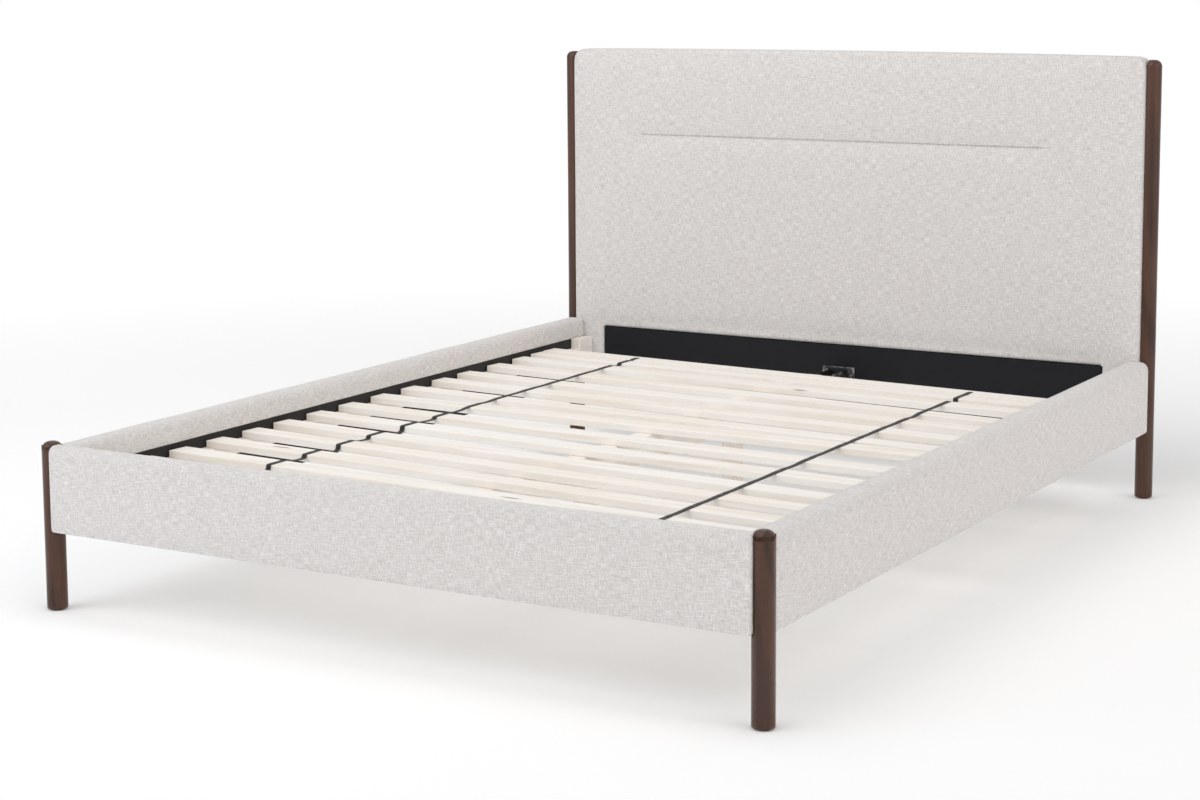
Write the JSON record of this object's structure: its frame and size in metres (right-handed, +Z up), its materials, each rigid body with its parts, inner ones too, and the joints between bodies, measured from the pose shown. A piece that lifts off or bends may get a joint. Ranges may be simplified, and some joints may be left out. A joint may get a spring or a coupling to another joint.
{
  "type": "bed frame",
  "caption": "Low upholstered platform bed frame with a tall padded headboard, dark turned wooden posts, padded rails and strapped pine slats.",
  "frame": {"origin": "on the floor, midway between the four posts", "axes": "+Y from the foot to the headboard, +X to the right seen from the foot, +Z up"},
  "size_m": [1.704, 2.196, 1.109],
  "materials": {
    "walnut": "satin",
    "upholstery": "woven, matte",
    "pine": "planed, unfinished",
    "core_timber": "sawn, unfinished",
    "black_board": "satin black",
    "dark_lining": "matte non-woven",
    "webbing": "woven, matte",
    "black_steel": "satin black",
    "zinc": "zinc plated",
    "glide_plastic": "matte"
  },
  "bodies": {
    "frame": {"foot_post_left": "walnut", "foot_post_right": "walnut", "head_post_left": "walnut", "head_post_right": "walnut", "post_glides": "glide_plastic", "foot_rail_core": "core_timber", "side_rail_core_left": "core_timber", "side_rail_core_right": "core_timber", "foot_rail_cover": "upholstery", "side_rail_cover_left": "upholstery", "side_rail_cover_right": "upholstery", "headboard_pad": "upholstery", "side_rail_lining_left": "dark_lining", "side_rail_lining_right": "dark_lining", "headboard_back_cloth": "dark_lining", "slat_cleat_left": "pine", "slat_cleat_right": "pine", "corner_block_left": "pine", "corner_block_right": "pine", "headboard_stile_left": "core_timber", "headboard_stile_right": "core_timber", "headboard_bottom_rail": "core_timber", "headboard_middle_rail": "core_timber", "headboard_top_rail": "core_timber", "headboard_panel": "core_timber", "headboard_lower_panel": "black_board", "corner_brackets_foot": "black_steel", "corner_brackets_head": "black_steel", "centre_socket_foot": "black_steel", "centre_socket_head": "black_steel", "corner_bracket_screws": "zinc", "slat_cleat_screws": "zinc", "centre_leg_screws": "zinc", "joint_bolts": "black_steel", "centre_socket_bolts": "black_steel", "centre_rail": "pine", "centre_leg_front": "pine", "centre_leg_back": "pine"},
    "slat_deck": {"slat_01": "pine", "slat_02": "pine", "slat_03": "pine", "slat_04": "pine", "slat_05": "pine", "slat_06": "pine", "slat_07": "pine", "slat_08": "pine", "slat_09": "pine", "slat_10": "pine", "slat_11": "pine", "slat_12": "pine", "slat_13": "pine", "slat_14": "pine", "slat_15": "pine", "slat_16": "pine", "slat_strap_left": "webbing", "slat_strap_right": "webbing", "strap_staples": "zinc"},
    "front_levelling_foot": {"levelling_foot_front": "glide_plastic"},
    "back_levelling_foot": {"levelling_foot_back": "glide_plastic"}
  },
  "joints": [
    {"name": "slat_deck_slide", "type": "slide", "parent": "frame", "child": "slat_deck", "axis": [0, 1, 0], "range_m": [-0.005, 0.09]},
    {"name": "front_foot_screw", "type": "slide", "parent": "frame", "child": "front_levelling_foot", "axis": [0, 0, -1], "range_m": [0, 0.012]},
    {"name": "back_foot_screw", "type": "slide", "parent": "frame", "child": "back_levelling_foot", "axis": [0, 0, -1], "range_m": [0, 0.012]}
  ]
}
